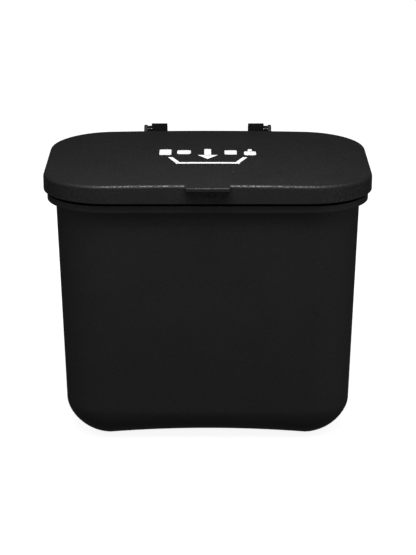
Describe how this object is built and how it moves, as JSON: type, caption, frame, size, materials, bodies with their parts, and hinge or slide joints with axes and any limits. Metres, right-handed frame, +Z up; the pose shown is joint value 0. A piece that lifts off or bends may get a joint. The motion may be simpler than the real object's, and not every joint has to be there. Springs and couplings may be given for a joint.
{
  "type": "hanging waste bin",
  "caption": "Tapered moulded waste bin with a hinged rounded lid, bag ring and hooked straps to hang it on a door; also stands on its arched base.",
  "frame": {"origin": "under the middle of the whole object's box, on the plane it stands on", "axes": "+Z up; +X to the right seen from the front, along the lid's long side; -Y is the front, where the lift tab is"},
  "size_m": [0.3028, 0.2308, 0.2686],
  "materials": {
    "tub_plastic": "matte black, fine moulded grain",
    "ring_plastic": "satin black",
    "lid_plastic": "matte black, fine moulded grain",
    "hinge_plastic": "satin black",
    "steel_pin": "drawn steel, darkened",
    "zinc_screw": "zinc plated",
    "black_rubber": "soft matte black",
    "print_white": "white pad print"
  },
  "bodies": {
    "bin": {"bin_body": "tub_plastic", "bag_ring": "ring_plastic", "strap_left": "hinge_plastic", "strap_screw_upper_left": "zinc_screw", "strap_screw_lower_left": "zinc_screw", "hinge_pin_left": "steel_pin", "pin_spacer_left": "hinge_plastic", "door_pad_left": "black_rubber", "hook_pad_left": "black_rubber", "strap_right": "hinge_plastic", "strap_screw_upper_right": "zinc_screw", "strap_screw_lower_right": "zinc_screw", "hinge_pin_right": "steel_pin", "pin_spacer_right": "hinge_plastic", "door_pad_right": "black_rubber", "hook_pad_right": "black_rubber"},
    "lid": {"lid_shell": "lid_plastic", "lid_bumper_front_left": "black_rubber", "lid_bumper_front_right": "black_rubber", "lid_bumper_rear_left": "black_rubber", "lid_bumper_rear_right": "black_rubber"}
  },
  "joints": [
    {"name": "lid_hinge", "type": "hinge", "parent": "bin", "child": "lid", "pos_m": [0, 0.08685, 0.2634], "axis": [-1, 0, 0], "range_deg": [0, 105]}
  ]
}
